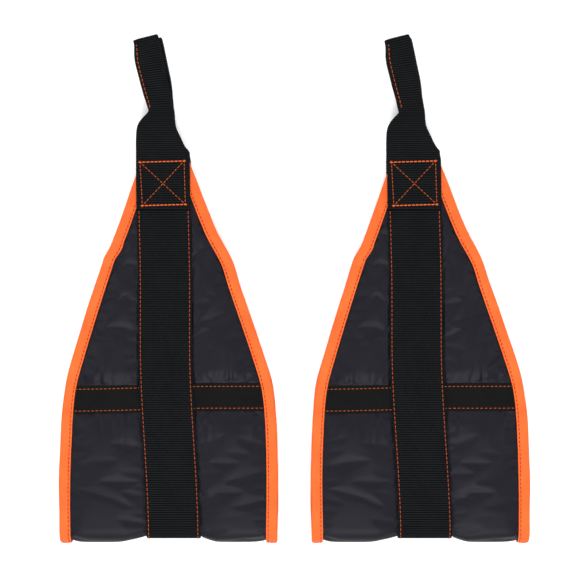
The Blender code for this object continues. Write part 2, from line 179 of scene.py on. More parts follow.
def middle(y):
    """Height of the surface midway between the two halves."""
    over = np.clip((y - PANEL_TOP) / (LOOP_LEVEL_Y - PANEL_TOP), 0, 1)
    low = TIP_GAP + PAD
    return np.where(y <= PANEL_TOP, inner_gap(y) + PAD, low + (LOOP_MIDDLE - low) * over)


def webbing_centre(y):
    """x of the load webbing's middle, which was sewn on a little askew."""
    first, second = (drift * ease((y - start) / length) for drift, start, length in WEBBING_DRIFTS)
    return WEBBING_START_X - first - second


def sling_place(sling, x, y, z):
    """Points of a sling, in millimetres from the middle of its fold's lowest line, in the row frame."""
    across, along, up = joint_at[f"{sling}_fold"]
    return np.stack(np.broadcast_arrays(
        across + x * MM, along + (y - FOLD_RADIUS) * MM, up + (z - FOLD_RADIUS) * MM), -1)


def strip_place(sling, x, v, up):
    """Points on the padded strip, none of them below the table."""
    y = height_along(v)
    turn = np.clip(v / QUARTER, -1, 1) * math.pi / 2
    reach = inner_gap(y) + up
    z = np.where(np.abs(v) < QUARTER, FOLD_RADIUS + reach * np.sin(turn), middle(y) + np.sign(v) * reach)
    y = np.where(np.abs(v) < QUARTER, FOLD_RADIUS - reach * np.cos(turn), y)
    return sling_place(sling, x, y, np.maximum(z, 0))


def grid_piece(name, points, uv, round_section=False, capped=False):
    """A mesh of quads on rows of points, with a UV map; round_section joins the last column to the first."""
    rows, columns = points.shape[:2]
    index = np.arange(rows * columns).reshape(rows, columns)
    if round_section:
        index = np.concatenate([index, index[:, :1]], 1)
    quads = np.stack([index[:-1, :-1], index[:-1, 1:], index[1:, 1:], index[1:, :-1]], -1).reshape(-1, 4)
    faces = quads.tolist()
    if capped:
        faces += [list(range(columns))[::-1], [int(i) for i in index[-1, :columns]]]
    mesh = bpy.data.meshes.new(name)
    mesh.from_pydata(points.reshape(-1, 3).tolist(), [], faces)
    layer = mesh.uv_layers.new(name="weave")
    corner = np.zeros(len(mesh.loops), int)
    mesh.loops.foreach_get("vertex_index", corner)
    layer.data.foreach_set("uv", uv.reshape(-1, 2)[corner].astype(np.float32).ravel())
    mesh.shade_smooth()
    made = bpy.data.objects.new(name, mesh)
    scene.collection.objects.link(made)
    return made


def closed_strip(name, top, under, uv):
    """A closed piece from the points of its top and of its underside, which share one UV map."""
    ring = np.concatenate([top, under[:, ::-1]], 1)
    uv = np.concatenate([uv, uv[:, ::-1]], 1)
    return facing_out(grid_piece(name, ring, uv, round_section=True, capped=True))


def facing_out(piece):
    """Turns a closed piece's faces to point outwards."""
    bm = bmesh.new()
    bm.from_mesh(piece.data)
    bmesh.ops.recalc_face_normals(bm, faces=bm.faces)
    bm.to_mesh(piece.data)
    bm.free()
    piece.data.set_sharp_from_angle(angle=SHARP_ANGLE)
    return piece


def bend_at_fold(piece):
    """Bakes the placement of a piece that lies round the fold into its mesh."""
    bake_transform(piece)


WEBBING_WIDTH = 50.0
WEBBING_THICKNESS = 1.7
WEBBING_LEVEL = 5.75
TAIL_LEVEL = 7.75
TAIL_END_Y = 309.0
NECK_Y = 400.0
NECK_WEBBING_LEVEL = 1.15
NECK_TAIL_LEVEL = 7.45
LAYER_STEP = 1.8
LOOP_INNER_LEVEL = 0.2
FOLDED_THICKNESS = 3.5
EYE_RADIUS = 2.5
BACK_LOOP_DROP, BACK_LOOP_SHIFT = 1.0, 2.6
TAIL_FOLD_LENGTH = 12
WEBBING_FOLD_Y, WEBBING_FOLD_LENGTH = 372, 20
NECK_DROP_LENGTH = 24
SHIFT_SHARE, OPENING_SHARE = 0.5, 0.45
TAIL_ROWS, NECK_ROWS, LEG_ROWS, CROWN_ROWS, PANEL_ROWS = 12, 22, 22, 16, 60
SMOOTHED_ROWS = 6
LOOP_LEFT = [(NECK_Y, -18.5), (418, -24.0), (434, -28.2), (448, -31.4), (461, -31.7)]
LOOP_RIGHT = [(NECK_Y, 4.0), (418, 0.4), (434, -2.9), (448, -5.9), (466, -9.6)]
LOOP_TOP = (466.5, 472.0)
NECK_LEFT = [(PANEL_TOP, -30.4), (382, -30.0), (390, -27.5), (NECK_Y, -18.5)]
NECK_RIGHT = [(PANEL_TOP, 19.0), (364, 17.6), (367, 14.6), (378, 9.2), (387, 5.2), (NECK_Y, 4.0)]
FOLD_RIBS = 21
RIB_PITCH = 2 * SPLIT / FOLD_RIBS
RIB_HEIGHT = 0.34
RIB_ROUNDING = 1.5
RIB_ROWS = 4
SELVEDGE = 1.6
EDGE_ROUND, EDGE_THINNING = 0.9, 0.35
FLAT_PLACES = (0, 0.3, 0.9, 1.8, 7.5, 13, 19, 25, 31, 37, 42.5, 48.2, 49.1, 49.7, 50)
LAYER_PLACES, BEND_PLACES, FLAP_PLACES = 6, 5, 4
CREASE_START = 0.3
FLAP_MARGIN, LEAST_FLAP = 0.2, 0.01
GLOSS_DRIFT = 0.06


def webbing_route(half):
    """The route of one half's webbing, from its cut end to the fold, as rows of the left end and the right
    end of its width and the share of any narrowing that is taken up by folding. A point's third value is
    its level above the middle surface.
    """
    drop, shift = (BACK_LOOP_DROP, BACK_LOOP_SHIFT) if half == "back" else (0.0, 0.0)
    rows = []

    def panel(y, level):
        edge = float(webbing_centre(y)) - WEBBING_WIDTH / 2
        rows.append((edge, y, level, edge + WEBBING_WIDTH, y, level, 0.0))

    def neck(y, level, folded):
        rows.append((through(NECK_LEFT, y), y, level, through(NECK_RIGHT, y), y, level, folded))

    for y in np.linspace(TAIL_END_Y, PANEL_TOP, TAIL_ROWS):
        panel(y, inner_gap(y) + TAIL_LEVEL)
    for y in np.linspace(PANEL_TOP, NECK_Y, NECK_ROWS)[1:]:
        high = TIP_GAP + TAIL_LEVEL
        level = high + (NECK_TAIL_LEVEL - high) * ease((y - PANEL_TOP) / (NECK_Y - PANEL_TOP))
        neck(y, level, ease((y - PANEL_TOP) / TAIL_FOLD_LENGTH))

    outer_radius = EYE_RADIUS + FOLDED_THICKNESS
    eye_level = LOOP_INNER_LEVEL + outer_radius
    sheet = outer_radius - WEBBING_THICKNESS / 2
    tops = [top - drop for top in LOOP_TOP]
    tilt = math.atan2(tops[1] - tops[0], LOOP_RIGHT[-1][1] - LOOP_LEFT[-1][1])
    rise = np.array((-math.sin(tilt), math.cos(tilt)))

    def leg(share, level):
        ends = []
        for points, top in zip((LOOP_LEFT, LOOP_RIGHT), tops):
            y = NECK_Y + (top - rise[1] * outer_radius - NECK_Y) * share
            ends += [through(points, y) + shift * ease(share / SHIFT_SHARE), y, level]
        rows.append((*ends, 1.0))

    high, low = NECK_TAIL_LEVEL, NECK_WEBBING_LEVEL
    for share in np.linspace(0, 1, LEG_ROWS)[1:]:
        leg(share, high + (eye_level + sheet - high) * ease(share / OPENING_SHARE))
    crown = rows[-1]
    for turn in np.linspace(0, math.pi, CROWN_ROWS)[1:-1]:
        x, y = rise * sheet * math.sin(turn)
        level = eye_level + sheet * math.cos(turn)
        rows.append((crown[0] + x, crown[1] + y, level, crown[3] + x, crown[4] + y, level, 1.0))
    for share in np.linspace(1, 0, LEG_ROWS):
        leg(share, low + (eye_level - sheet - low) * ease(share / OPENING_SHARE))

    for y in np.linspace(NECK_Y, PANEL_TOP, NECK_ROWS)[1:]:
        high = TIP_GAP + WEBBING_LEVEL
        level = high + (NECK_WEBBING_LEVEL - high) * ease((y - PANEL_TOP) / NECK_DROP_LENGTH)
        neck(y, level, ease((y - WEBBING_FOLD_Y) / WEBBING_FOLD_LENGTH))
    for y in np.linspace(PANEL_TOP, height_along(SPLIT), PANEL_ROWS)[1:]:
        panel(y, inner_gap(y) + WEBBING_LEVEL)
    return np.array(rows, float)


def even_steps(route, step):
    """The route at even steps along its middle, slightly smoothed, and the length along it."""
    middle_line = (route[:, 0:3] + route[:, 3:6]) / 2
    length = np.concatenate([[0], np.cumsum(np.linalg.norm(np.diff(middle_line, axis=0), axis=1))])
    steps = np.arange(0, length[-1] + step / 2, step)
    fine = np.stack([np.interp(steps, length, column) for column in route.T], 1)
    window = np.hanning(2 * SMOOTHED_ROWS + 1)
    window /= window.sum()
    start = 2 * fine[:1] - fine[SMOOTHED_ROWS:0:-1]
    end = 2 * fine[-1:] - fine[-2:-2 - SMOOTHED_ROWS:-1]
    padded = np.concatenate([start, fine, end])
    fine = np.stack([np.convolve(column, window, "valid") for column in padded.T], 1)
    return fine, steps


def route_directions(route):
    """Unit directions widthways along each row of the route, and straight out of its outer face."""
    span = route[:, 3:6] - route[:, 0:3]
    widthways = span / np.linalg.norm(span, axis=1, keepdims=True)
    lengthways = np.gradient((route[:, 0:3] + route[:, 3:6]) / 2, axis=0)
    outwards = np.cross(widthways, lengthways)
    return widthways, outwards / np.linalg.norm(outwards, axis=1, keepdims=True)


def route_place(sling, side, points):
    """Points of a half's webbing route, in the row frame."""
    x, y, level = points[..., 0], points[..., 1], points[..., 2]
    return sling_place(sling, x, y, middle(y) + side * level)


def ribs(along):
    """Height of rounded ribs, from -1 in the grooves to 0 on the crests."""
    phase = (along / RIB_PITCH + 0.5) % 1
    return np.sin(math.pi * phase) ** RIB_ROUNDING - 1


def edge_round(s, width):
    """Share of the full thickness across a tape, thinner at its two edges."""
    from_edge = np.clip(np.minimum(s, width - s) / EDGE_ROUND, 0, 1)
    return EDGE_THINNING + (1 - EDGE_THINNING) * np.sqrt(1 - (1 - from_edge) ** 2)


def swept_webbing(name, sling, half):
    """The webbing of one half as one closed mesh swept along its route."""
    side = HALVES[half]
    route, along = even_steps(webbing_route(half), RIB_PITCH / RIB_ROWS)
    along = along[-1] - along
    left, right, folded = route[:, 0:3], route[:, 3:6], route[:, 6:7]
    width = np.linalg.norm(right - left, axis=1, keepdims=True)
    widthways, outwards = route_directions(route)

    bend = LAYER_STEP / 2
    crease = WEBBING_WIDTH - np.clip(WEBBING_WIDTH - (width - bend), 0, None) * folded
    flat_s = np.array(FLAT_PLACES)[None]
    flap_start = crease + math.pi * bend
    flap_length = (WEBBING_WIDTH - flap_start).clip(LEAST_FLAP)
    folded_s = np.concatenate([
        crease * np.linspace(0, 1, LAYER_PLACES),
        crease + math.pi * bend * np.linspace(0, 1, BEND_PLACES + 1)[1:],
        flap_start + flap_length * np.linspace(0, 1, FLAP_PLACES + 1)[1:],
    ], 1)
    mix = ease(folded / CREASE_START)
    s = flat_s * (1 - mix) + folded_s * mix

    past = np.clip(s - crease, 0, math.pi * bend)
    angle = past / bend
    squeeze = np.minimum((crease - FLAP_MARGIN) / flap_length, 1)
    flap = np.clip(s - flap_start, 0, None) * squeeze
    x = np.minimum(s, crease) + bend * np.sin(angle) - flap
    drop = bend * (1 - np.cos(angle))
    x *= width / x.max(axis=1, keepdims=True)

    rib = RIB_HEIGHT * ribs(along)[:, None] * ease(np.minimum(s, WEBBING_WIDTH - s) / SELVEDGE)
    thickness = WEBBING_THICKNESS / 2 * edge_round(s, WEBBING_WIDTH) + rib
    sheet = left[:, None] + x[..., None] * widthways[:, None] - drop[..., None] * outwards[:, None]
    normal = np.sin(angle)[..., None] * widthways[:, None] + np.cos(angle)[..., None] * outwards[:, None]
    outer, inner = sheet + thickness[..., None] * normal, sheet - thickness[..., None] * normal
    uv = np.stack(np.broadcast_arrays(s, along[:, None] + RIB_PITCH / 2), -1)
    return closed_strip(name, route_place(sling, side, outer), route_place(sling, side, inner), uv)


def ribbed_level(x, v, width):
    """Half thickness of flat webbing, with its ribs, at a place across it and along the strip."""
    rib = RIB_HEIGHT * ribs(v + SPLIT) * ease(np.minimum(x, width - x) / SELVEDGE)
    return WEBBING_THICKNESS / 2 * edge_round(x, width) + rib


def yarn_weave():
    """A plain weave: rounded yarns that go over and under each other, from a UV map in millimetres, with
    painted shade between them.
    """
    group = bpy.data.node_groups.new("yarn_weave", "ShaderNodeTree")
    face = group.interface
    face.new_socket("Vector", in_out="INPUT", socket_type="NodeSocketVector")
    for name, value in (("Warp Pitch", 0.8), ("Weft Pitch", 0.8), ("Wear Size", 0.05)):
        face.new_socket(name, in_out="INPUT", socket_type="NodeSocketFloat").default_value = value
    for name in ("Height", "Shade", "Wear"):
        face.new_socket(name, in_out="OUTPUT", socket_type="NodeSocketFloat")
    nodes, links = group.nodes, group.links
    given, out = nodes.new("NodeGroupInput"), nodes.new("NodeGroupOutput")
    apart = nodes.new("ShaderNodeSeparateXYZ")
    links.new(given.outputs["Vector"], apart.inputs[0])

    def math_node(operation, *values):
        node = nodes.new("ShaderNodeMath")
        node.operation = operation
        for socket, value in zip(node.inputs, values):
            if isinstance(value, float):
                socket.default_value = value
            else:
                links.new(value, socket)
        return node.outputs[0]

    waves = []
    for axis, pitch in (("X", "Warp Pitch"), ("Y", "Weft Pitch")):
        turns = math_node("DIVIDE", apart.outputs[axis], given.outputs[pitch])
        waves.append(math_node("SINE", math_node("MULTIPLY", turns, math.pi)))
    over = math_node("ABSOLUTE", math_node("MULTIPLY", *waves))
    links.new(over, out.inputs["Height"])
    # Shade is painted shade: the colour is darkest where the yarns dip between each other and lightest on
    # their crests.
    links.new(math_node("MULTIPLY", over, over), out.inputs["Shade"])
    wear = nodes.new("ShaderNodeTexNoise")
    wear.inputs["Detail"].default_value = 3
    links.new(given.outputs["Vector"], wear.inputs["Vector"])
    links.new(given.outputs["Wear Size"], wear.inputs["Scale"])
    links.new(wear.outputs["Fac"], out.inputs["Wear"])
    return group


def two_tone(made, factor, dark, light):
    """Colours a finish from dark to light by a value that changes over the surface."""
    nodes, links = made.node_tree.nodes, made.node_tree.links
    colour = nodes.new("ShaderNodeMix")
    colour.data_type = "RGBA"
    colour.inputs["A"].default_value = (*dark, 1)
    colour.inputs["B"].default_value = (*light, 1)
    links.new(factor, colour.inputs["Factor"])
    links.new(colour.outputs["Result"], nodes["Principled BSDF"].inputs["Base Color"])


def relief(made, height, depth):
    """Gives a finish a relief, depth millimetres deep."""
    nodes, links = made.node_tree.nodes, made.node_tree.links
    bump = nodes.new("ShaderNodeBump")
    bump.inputs["Distance"].default_value = depth * MM
    links.new(height, bump.inputs["Height"])
    links.new(bump.outputs["Normal"], nodes["Principled BSDF"].inputs["Normal"])
    return bump


def woven_material(name, dark, light, roughness, specular, warp, weft, depth, sheen=0.0, painted_shade_share=0.45):
    """Woven cloth whose colour and gloss drift a little, with its yarns in relief and painted shade between
    them.
    """
    made = plain_material(name, light, roughness)
    nodes, links = made.node_tree.nodes, made.node_tree.links
    shader = nodes["Principled BSDF"]
    shader.inputs["Specular IOR Level"].default_value = specular
    shader.inputs["Sheen Weight"].default_value = sheen
    shader.inputs["Sheen Roughness"].default_value = 0.4
    place = nodes.new("ShaderNodeUVMap")
    place.uv_map = "weave"
    weave = nodes.new("ShaderNodeGroup")
    weave.node_tree = weave_group
    weave.inputs["Warp Pitch"].default_value = warp
    weave.inputs["Weft Pitch"].default_value = weft
    links.new(place.outputs["UV"], weave.inputs["Vector"])
    shade = nodes.new("ShaderNodeMapRange")
    shade.inputs["From Min"].default_value = 0.25
    shade.inputs["From Max"].default_value = 0.75
    links.new(weave.outputs["Wear"], shade.inputs["Value"])
    # The colour mixes painted shade between the yarns, at the given share, with a random wear tone.
    painted_shade_and_wear = nodes.new("ShaderNodeMath")
    painted_shade_and_wear.operation = "MULTIPLY_ADD"
    painted_shade_and_wear.inputs[1].default_value = painted_shade_share
    links.new(weave.outputs["Shade"], painted_shade_and_wear.inputs[0])
    wear_shade = nodes.new("ShaderNodeMath")
    wear_shade.operation = "MULTIPLY"
    wear_shade.inputs[1].default_value = 1 - painted_shade_share
    links.new(shade.outputs["Result"], wear_shade.inputs[0])
    links.new(wear_shade.outputs[0], painted_shade_and_wear.inputs[2])
    two_tone(made, painted_shade_and_wear.outputs[0], dark, light)
    gloss = nodes.new("ShaderNodeMapRange")
    gloss.inputs["To Min"].default_value = roughness - GLOSS_DRIFT
    gloss.inputs["To Max"].default_value = roughness + GLOSS_DRIFT
    links.new(weave.outputs["Wear"], gloss.inputs["Value"])
    links.new(gloss.outputs["Result"], shader.inputs["Roughness"])
    relief(made, weave.outputs["Height"], depth)
    return made


weave_group = yarn_weave()
# The webbing's colour is almost all painted shade, dark in the grooves between its ribs and light on their
# crests.
webbing_finish = woven_material(
    "black_webbing", (0.0004, 0.0004, 0.0005), (0.0215, 0.0235, 0.0255), 0.75, 0.02, 0.85, RIB_PITCH, 0.25,
    painted_shade_share=0.93)
for sling in SLINGS:
    for half in HALVES:
        webbing = swept_webbing(f"{sling}_{half}_load_webbing", sling, half)
        webbing.data.materials.append(webbing_finish)
        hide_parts(*(f"{sling}_{half}_{part}" for part in ("webbing", "strap_end", "loop")))
        across, along, up = joint_at[f"{sling}_{half}_loop_swing"]
        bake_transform(webbing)

    v = np.linspace(-SPLIT, SPLIT, FOLD_RIBS * RIB_ROWS + 1)[:, None]
    x = np.array(FLAT_PLACES)[None]
    left_end = webbing_centre(height_along(v)) - WEBBING_WIDTH / 2
    levels = ribbed_level(x, v, WEBBING_WIDTH)
    top = strip_place(sling, left_end + x, v, WEBBING_LEVEL + levels)
    under = strip_place(sling, left_end + x, v, WEBBING_LEVEL - levels)
    uv = np.stack(np.broadcast_arrays(x, v + SPLIT + RIB_PITCH / 2), -1)
    webbing = closed_strip(f"{sling}_fold_load_webbing", top, under, uv)
    webbing.data.materials.append(webbing_finish)
    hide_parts(f"{sling}_fold_webbing")
    bend_at_fold(webbing)

# ---------------------------------------------------------------- Lining
# A matte black knitted mesh that lies against the arm. It covers the whole inside of the strip, and its
# long edges are caught in the edge binding.

LINING_THICKNESS = 0.8
LINING_IN_SLOT = 1.3
BINDING_WIDTH = 10.6
BINDING_EDGE_WALL = 1.3
LINING_MARGIN, FOLD_LINING_MARGIN = 0.3, 0.2
LINING_FLAT_FROM, LINING_SLOPE = 8, 12
LINING_RIPPLE = 0.22
LINING_PITCH = 4.0
LINING_COLUMNS = 48
BINDING_HEIGHT = 4.6
EDGE_SPREAD_Y = 100.0
LEFT_EDGE = [(0, -100.5), (60, -101.3), (105, -100.0), (135, -97.8), (158, -93.4),
             (262, -61.4), (277, -53.6), (356, -25.5)]
RIGHT_EDGE = [(0, 101.0), (60, 101.5), (105, 100.5), (135, 98.0), (158, 93.2),
              (240, 65.7), (262, 58.4), (292, 43.0), (356, 18.0)]
EDGES = {"left": (LEFT_EDGE, 1), "right": (RIGHT_EDGE, -1)}


def edge_spread(y):
    """How much further apart the bound edges stand than the linings, near the fold."""
    return (PAD - BINDING_HEIGHT) * (1 - ease((y - FOLD_RADIUS) / (EDGE_SPREAD_Y - FOLD_RADIUS)))


def stretch(points, y):
    """Horizontal width of a strip 1 mm wide along a slanting edge."""
    return np.hypot(1, (through(points, y + 1) - through(points, y - 1)) / 2)


def edge_inwards(edge, d, y):
    """x of a place d inwards from an edge of the strip, measured square to the edge."""
    points, inwards = EDGES[edge]
    return through(points, y) + inwards * d * stretch(points, y)


def lining_rise(x, y):
    """Height of the lining above its flat middle, where it rises to enter the binding."""
    from_edge = np.minimum(x - edge_inwards("left", 0, y), edge_inwards("right", 0, y) - x)
    return (edge_spread(y) + LINING_IN_SLOT) * (1 - ease((from_edge - LINING_FLAT_FROM) / LINING_SLOPE))


def along_strip(y):
    """v of a place y up the front half."""
    return QUARTER + y - FOLD_RADIUS


def strip_rows(part, pitch):
    """v along the part of the strip that one piece covers."""
    if part == "fold":
        return np.linspace(-SPLIT, SPLIT, 2 * round(SPLIT / pitch) + 1)
    top = along_strip(PANEL_TOP)
    return HALVES[part] * np.linspace(SPLIT, top, round((top - SPLIT) / pitch) + 1)


def join_part(piece, sling, part):
    """Lets a piece of the strip ride with its half, or bakes a fold piece's placement into its mesh."""
    if part == "fold":
        bend_at_fold(piece)
    else:
        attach(piece, f"{sling}_{part}_half")


def knit_material():
    """A warp-knitted mesh with small round holes in staggered rows, which are coloured dark as painted shade.
    """
    made = plain_material("lining_mesh", (0.012, 0.012, 0.013), 0.95)
    nodes, links = made.node_tree.nodes, made.node_tree.links
    shader = nodes["Principled BSDF"]
    shader.inputs["Specular IOR Level"].default_value = 0.2
    shader.inputs["Sheen Weight"].default_value = 0.15
    place = nodes.new("ShaderNodeUVMap")
    place.uv_map = "weave"
    holes = nodes.new("ShaderNodeTexVoronoi")
    holes.inputs["Scale"].default_value = 0.55
    holes.inputs["Randomness"].default_value = 0.15
    links.new(place.outputs["UV"], holes.inputs["Vector"])
    wall = nodes.new("ShaderNodeMapRange")
    wall.interpolation_type = "SMOOTHSTEP"
    wall.inputs["From Min"].default_value = 0.2
    wall.inputs["From Max"].default_value = 0.45
    links.new(holes.outputs["Distance"], wall.inputs["Value"])
    # Painted shade: the holes are coloured darker than the yarn walls around them.
    two_tone(made, wall.outputs["Result"], (0.003, 0.003, 0.003), (0.016, 0.016, 0.018))
    relief(made, wall.outputs["Result"], 0.35)
    return made


lining_finish = knit_material()
for sling in SLINGS:
    for part in ("back", "fold", "front"):
        v = strip_rows(part, LINING_PITCH)[:, None]
        y = height_along(v)
        share = np.linspace(0, 1, LINING_COLUMNS + 1)[None]
        inset = BINDING_EDGE_WALL + LINING_MARGIN
        if part == "fold":
            inset = BINDING_WIDTH + FOLD_LINING_MARGIN
        left_end, right_end = edge_inwards("left", inset, y), edge_inwards("right", inset, y)
        x = left_end + (right_end - left_end) * share
        in_slot = lining_rise(x, y)
        ripple = LINING_RIPPLE * np.sin(x * 0.31) * np.sin(v * 0.23) * (in_slot < 0.01)
        back = strip_place(sling, x, v, in_slot + LINING_THICKNESS)
        face = strip_place(sling, x, v, np.maximum(in_slot + ripple, 0))
        uv = np.stack(np.broadcast_arrays(x, v), -1)
        lining = closed_strip(f"{sling}_{part}_mesh_lining", back, face, uv)
        lining.data.materials.append(lining_finish)
        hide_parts(f"{sling}_{part}_lining")
        join_part(lining, sling, part)

# ---------------------------------------------------------------- Cross band
# A 25 mm flat woven band that lies across each half, under the load webbing, and holds the cover down on
# the foam. Its ends stop against the edge binding.

BAND_WIDTH = 25.4
BAND_THICKNESS = 1.1
BAND_Y = 134.0
BAND_CLEARANCE = 0.3
BAND_STITCH = 2.6
BAND_STEPS = 89
BAND_PLACES = (0, 0.4, 1.2, 3.0, 6.5, 10, 12.7, 15.4, 18.9, 22.4, 24.2, 25.0, 25.4)
BAND_EDGE_DIP, BAND_EDGE_ROUND = 0.35, 1.4
BAND_STITCH_DIP, BAND_STITCH_SPREAD = 0.22, 0.9
COVER_LOW = 3.2
BAND_CREST, BAND_SHOULDER = 2.0, 0.7


def band_centre(x):
    """y of the band's middle. It lies a little askew, with its left end lower than its right end."""
    return BAND_Y - 0.9 + 0.022 * (x + 30) * ease((30 - x) / 90) + 1.6 * ease((x + 20) / 60)


def under_band(x, y):
    """Height of the cover's outer face where the band holds it down."""
    left_end, right_end = edge_inwards("left", BINDING_WIDTH, y), edge_inwards("right", BINDING_WIDTH, y)
    centre = webbing_centre(y)
    seam = WEBBING_WIDTH / 2
    past_left = (x - left_end) / (centre - seam - left_end)
    past_right = (right_end - x) / (right_end - centre - seam)
    share = np.where(x < centre, past_left, past_right)
    crest = np.sin(np.clip(share, 0, 1) * math.pi) ** BAND_SHOULDER
    edge_part = edge_spread(y) * (1 - ease(share / 0.5))
    return COVER_LOW + edge_part + BAND_CREST * crest


band_finish = woven_material(
    "band_tape", (0.0012, 0.0011, 0.0011), (0.0058, 0.0054, 0.0054), 0.8, 0.1, 0.9, 0.9, 0.15)
for sling in SLINGS:
    for half, side in HALVES.items():
        share = np.linspace(0, 1, BAND_STEPS + 1)[:, None]
        width_place = np.array(BAND_PLACES)[None]
        level_y = BAND_Y + width_place - BAND_WIDTH / 2
        left_end = edge_inwards("left", BINDING_WIDTH, level_y)
        right_end = edge_inwards("right", BINDING_WIDTH, level_y)
        x = left_end + (right_end - left_end) * share
        y = band_centre(x) + width_place - BAND_WIDTH / 2
        from_edge = np.minimum(width_place, BAND_WIDTH - width_place)
        edge_dip = BAND_EDGE_DIP * (1 - ease(from_edge / BAND_EDGE_ROUND))
        stitch_dip = BAND_STITCH_DIP * np.exp(-(((from_edge - BAND_STITCH) / BAND_STITCH_SPREAD) ** 2))
        low = under_band(x, y) + BAND_CLEARANCE
        high = low + BAND_THICKNESS - edge_dip - stitch_dip
        v = side * along_strip(y)
        top, under = strip_place(sling, x, v, high), strip_place(sling, x, v, low)
        band = closed_strip(f"{sling}_{half}_band", top, under, np.stack([x, y], -1))
        band.data.materials.append(band_finish)
        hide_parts(f"{sling}_{half}_cross_band")
        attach(band, f"{sling}_{half}_half")

# ---------------------------------------------------------------- Edge bindings
# Bright orange grosgrain tape, folded over both long edges of the strip and sewn through near its inner
# edge, so that it stands up a little between the edge and the stitches.

BINDING_WALL = 0.8
BINDING_STITCH = 8.7
BINDING_PITCH = 3.85
BINDING_BUCKLES = {"left": 264.0, "right": 287.0}
OUTER_FACE = ((10.6, 0.55), (10.3, 0.12), (9.6, 0.0), (8.7, 0.02), (6.8, 0.0), (4.4, 0.0), (2.6, 0.02),
              (1.3, 0.16), (0.5, 0.55), (0.1, 1.2), (0.0, 2.3))
PUFF, PUFF_ROUNDING = 0.45, 0.8
GROOVE_DEPTH, GROOVE_PULL, GROOVE_WIDTH, UNDER_GROOVE = 0.36, 0.18, 0.8, 0.3
WAVE = 0.16
BUCKLE_RISE, BUCKLE_DIP = 0.55, 0.4
FOLD_STAND = 1.1
OUTLINE_DRIFT = 0.35


def binding_section():
    """The folded tape's section: distances from the edge, heights above its underside, and which face a
    point is on: 1 the top, -1 the underside and 0 the inside.
    """
    lower = list(OUTER_FACE)
    upper = [(place, BINDING_HEIGHT - level) for place, level in reversed(OUTER_FACE[:-1])]
    depths = (10.4, 6.0, BINDING_EDGE_WALL)
    inner = [(place, BINDING_HEIGHT - BINDING_WALL) for place in depths]
    inner += [(place, BINDING_WALL) for place in reversed(depths)]
    section = np.array(lower + upper + inner, float)
    face = np.concatenate([-np.ones(len(lower)), np.ones(len(upper)), np.zeros(len(inner))])
    return section[:, 0], section[:, 1], face


def fold_stand(v):
    """How far the bindings stand out where they turn round the fold."""
    return FOLD_STAND * np.cos(np.clip(v / QUARTER, -1, 1) * math.pi / 2) ** 2


def binding_relief(edge, part, d, v, x):
    """How far the tape's face stands up, from the puff, waves and a buckle, and how deep its groove is."""
    puff = PUFF * np.sin(np.clip(d / BINDING_STITCH, 0, 1) * math.pi) ** PUFF_ROUNDING
    drawn = GROOVE_DEPTH + GROOVE_PULL * np.cos(2 * math.pi * v / BINDING_PITCH)
    groove = drawn * np.exp(-(((d - BINDING_STITCH) / GROOVE_WIDTH) ** 2))
    wave = WAVE * np.sin(v * 0.37 + 1.7) * np.sin(v * 0.113 + 0.6) * ease(d / 4)
    past = v * (1 if part != "back" else -1) + FOLD_RADIUS - QUARTER - BINDING_BUCKLES[edge] + 0.5 * d
    buckle = BUCKLE_RISE * np.exp(-((past / 2.2) ** 2)) - BUCKLE_DIP * np.exp(-(((past + 5) / 2.6) ** 2))
    clear = ease((np.abs(x - webbing_centre(height_along(v))) - WEBBING_WIDTH / 2 - 1) / 4)
    return (puff * (1 + 0.25 * np.sin(v * 0.071 + 0.3)) - groove + wave + buckle) * clear, groove


binding_finish = woven_material(
    "orange_binding", (0.6, 0.078, 0.0095), (0.84, 0.145, 0.025), 0.65, 0.2, 0.3, 0.55, 0.05, sheen=0.05)
d, level, face = (column[None] for column in binding_section())
for sling in SLINGS:
    for part in ("back", "fold", "front"):
        for edge, (_, inwards) in EDGES.items():
            v = strip_rows(part, BINDING_PITCH / 4)[:, None]
            y = height_along(v)
            x = edge_inwards(edge, d, y)
            stand, groove = binding_relief(edge, part, d, v, x)
            up = edge_spread(y) + level + stand * (face > 0) + UNDER_GROOVE * groove * (face < 0)
            up = up + fold_stand(v)
            drift = OUTLINE_DRIFT * np.sin(v * 0.083 + 2.0) * np.sin(v * 0.031) * (1 - ease(d / 9))
            ring = strip_place(sling, x - inwards * drift, v, up)
            uv = np.stack(np.broadcast_arrays(v, np.where(face < 0, -d, d)), -1)
            binding = grid_piece(f"{sling}_{part}_{edge}_binding", ring, uv, round_section=True, capped=True)
            facing_out(binding)
            binding.data.materials.append(binding_finish)
            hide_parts(f"{sling}_{part}_binding_{edge}")
            join_part(binding, sling, part)

# ---------------------------------------------------------------- Cover
# Thin black nylon taffeta, cut a little larger than the foam it covers, so that it puffs out between the
# seams and gathers along them. One piece of it covers the whole outside of the strip.

COVER_SEAM = 4.6
COVER_THICKNESS = 0.4
COVER_TOP = {"back": 9.5, "fold": 10.2, "front": 11.0}
CEILING_SOFTNESS = 0.8
HELD_SHORT = 0.5
SEAM_MARGIN = 4
SLOT_COLUMNS = (1.6, 6.0, 10.8)
PANEL_COLUMNS = 27
CLOTH_PITCH = 2.5
CLOTH_SCALE = 0.02
CLOTH_FRAMES = 26
COVER_CROWN = 7.4
CROWN_REACH, CROWN_SHOULDER = 17, 0.7
BAND_REACH = 14
NARROWEST = 4.5
RIPPLES = 36
RIPPLE_SEED = 11
RIPPLE_HEIGHT = 0.36
RIPPLE_LENGTHS = (20, 56)
BAND_GATHER_REACH = 16
SEAM_GATHER, SEAM_GATHER_REACH = 0.35, 9
GATHER_STEPS = 10
PINCHES = ((-30, 62), (28, 74), (27, 178), (-31, 205))
PINCH_REACH = 9
PLEAT_PITCH = 10.5
PLEAT_HEIGHT = 0.6
PLEAT_REACH = 7.0
SPLIT_REACH = 6

